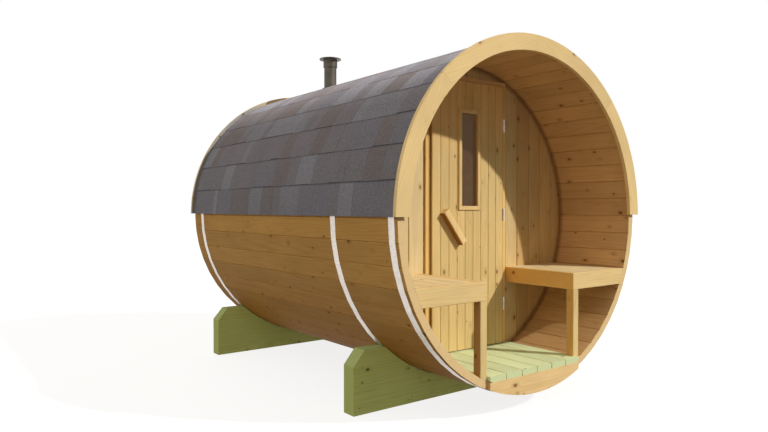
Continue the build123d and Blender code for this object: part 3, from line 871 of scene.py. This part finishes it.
# Outwards, a tab is thickest at its lower edge, and the upper courses lie a little flatter.
lift = calc(shingling, "MULTIPLY_ADD", rise, calc(shingling, "SUBTRACT", size["head"], size["butt"]), size["butt"])
lift = calc(shingling, "MULTIPLY", lift, draw(shingling, 0.72, 1.0, own, seed=11))
lift = calc(shingling, "MULTIPLY", lift, calc(shingling, "MULTIPLY_ADD", course, -0.09, 1.0))
reach = calc(shingling, "MULTIPLY_ADD", calc(shingling, "ADD", spot[2], 0.5), lift, size["radius"])
x = calc(shingling, "MULTIPLY", reach, calc(shingling, "COSINE", angle))
z = calc(shingling, "MULTIPLY_ADD", reach, calc(shingling, "SINE", angle), size["axis"])
marked = keep(shingling, loose, "up_tab", rise)
close_tree(shingling, moved_to(shingling, marked, x, y, z), shingle)
course_low, course_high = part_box("roof_courses_right")
roof_base = course_high.x - butt
roof_start = math.asin((course_low.z - axis_height) / roof_base)
roof_end = math.acos(course_low.x / roof_base)
course_step = (roof_end - roof_start) / course_count
common = {"length": course_high.y - course_low.y, "radius": roof_base}
right_slope = {"start": roof_start, "step": course_step, "seed": 4, "gap": tab_gap}
left_slope = {"start": math.pi - roof_start, "step": -course_step, "seed": 9, "gap": -tab_gap}
for side, slope in (("right", right_slope), ("left", left_slope)):
    tabs = piece_from("shingle_tabs_" + side, shingling, {**common, **slope})
    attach(tabs, "sauna")
    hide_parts("roof_courses_" + side)
dress(["roof_ridge_cap"], ridge_shingle)

# Flue: a steel pipe through the ridge, in dark heat-proof paint, with a sleeve and a shallow lid.
# Its flashing is a saddle of the same steel, bedded on the ridge caps.
flue_paint, tree = bare_material("flue_paint")
place = node(tree, "ShaderNodeTexCoord").outputs["Object"]
mottle = noise(tree, place, 11.0, 5.0)
tint = blend(tree, ease(tree, mottle, 0.3, 0.7), linear(120, 113, 102), linear(90, 84, 76))
gloss = calc(tree, "MULTIPLY_ADD", mottle, 0.3, 0.22)
relief = bump(tree, mottle, 0.12, 0.001)
surface(tree, {"Base Color": tint, "Metallic": 0.4, "Roughness": gloss, "Normal": relief})
dress(["flue_pipe", "flue_cowl", "flue_flashing"], flue_paint)

# Studio: a plain pale floor, one soft sun from the front right, a pale surround, and the camera.
# The floor glows, so that it comes out nearly white, and is kept out of diffuse bounces on to the part.
# The surround is brighter high up on the left, and plain white where the camera sees it.
ground_mesh = bpy.data.meshes.new("studio_floor")
far = 40.0
corners = [(-far, -far, 0), (far, -far, 0), (far, far, 0), (-far, far, 0)]
ground_mesh.from_pydata(corners, [], [(0, 1, 2, 3)])
ground = bpy.data.objects.new("studio_floor", ground_mesh)
bpy.context.scene.collection.objects.link(ground)
pale_floor, tree = bare_material("pale_floor")
place = node(tree, "ShaderNodeTexCoord").outputs["Object"]
shade = blend(tree, noise(tree, place, 0.6, 3.0), linear(128, 128, 127), linear(132, 132, 131))
own_glow = {"Emission Color": (1, 1, 1, 1), "Emission Strength": 0.83}
surface(tree, {"Base Color": shade, "Roughness": 0.9, **own_glow})
ground_mesh.materials.append(pale_floor)
ground.visible_diffuse = False

sun = bpy.data.lights.new("key", "SUN")
sun.energy = 2.72
sun.angle = math.radians(1.5)
sun.color = (1.0, 0.97, 0.92)
sun_path = Vector((-0.65, 1.0, -0.8))
key = bpy.data.objects.new("key", sun)
key.rotation_euler = sun_path.to_track_quat("-Z", "Y").to_euler()
bpy.context.scene.collection.objects.link(key)

world = bpy.data.worlds.new("studio")
bpy.context.scene.world = world
world.use_nodes = True
tree = world.node_tree
tree.nodes.clear()
seen = node(tree, "ShaderNodeLightPath").outputs["Is Camera Ray"]
towards = node(tree, "ShaderNodeTexCoord").outputs["Generated"]
bright_side = Vector((-0.62, 0.4, 0.8)).normalized()
bright_strength = 0.8
below_strength, above_more = 0.13, 0.11
sockets = {0: towards, 1: bright_side}
facing = node(tree, "ShaderNodeVectorMath", sockets, operation="DOT_PRODUCT").outputs["Value"]
soft = calc(tree, "POWER", calc(tree, "MAXIMUM", facing, 0.0), 1.5)
above = ease(tree, component(tree, towards, "Z"), -0.35, 0.1)
even = calc(tree, "MULTIPLY_ADD", above, above_more, below_strength)
lit = calc(tree, "MULTIPLY_ADD", soft, bright_strength, even)
glow = calc(tree, "MAXIMUM", seen, lit)
tinge = blend(tree, seen, (1.0, 0.955, 0.86, 1), (1, 1, 1, 1))
sky = node(tree, "ShaderNodeBackground", {"Color": tinge, "Strength": glow})
node(tree, "ShaderNodeOutputWorld", {"Surface": sky.outputs[0]})

bpy.context.scene.view_settings.view_transform = "Standard"
lens = bpy.data.cameras.new("camera")
lens.sensor_width = 36
lens.lens = 29.825
camera = bpy.data.objects.new("camera", lens)
camera.location = (-2.8061, -3.5497, 1.1186)
camera.rotation_euler = (math.radians(89.302), 0, math.radians(-37.404))
bpy.context.scene.collection.objects.link(camera)
bpy.context.scene.camera = camera
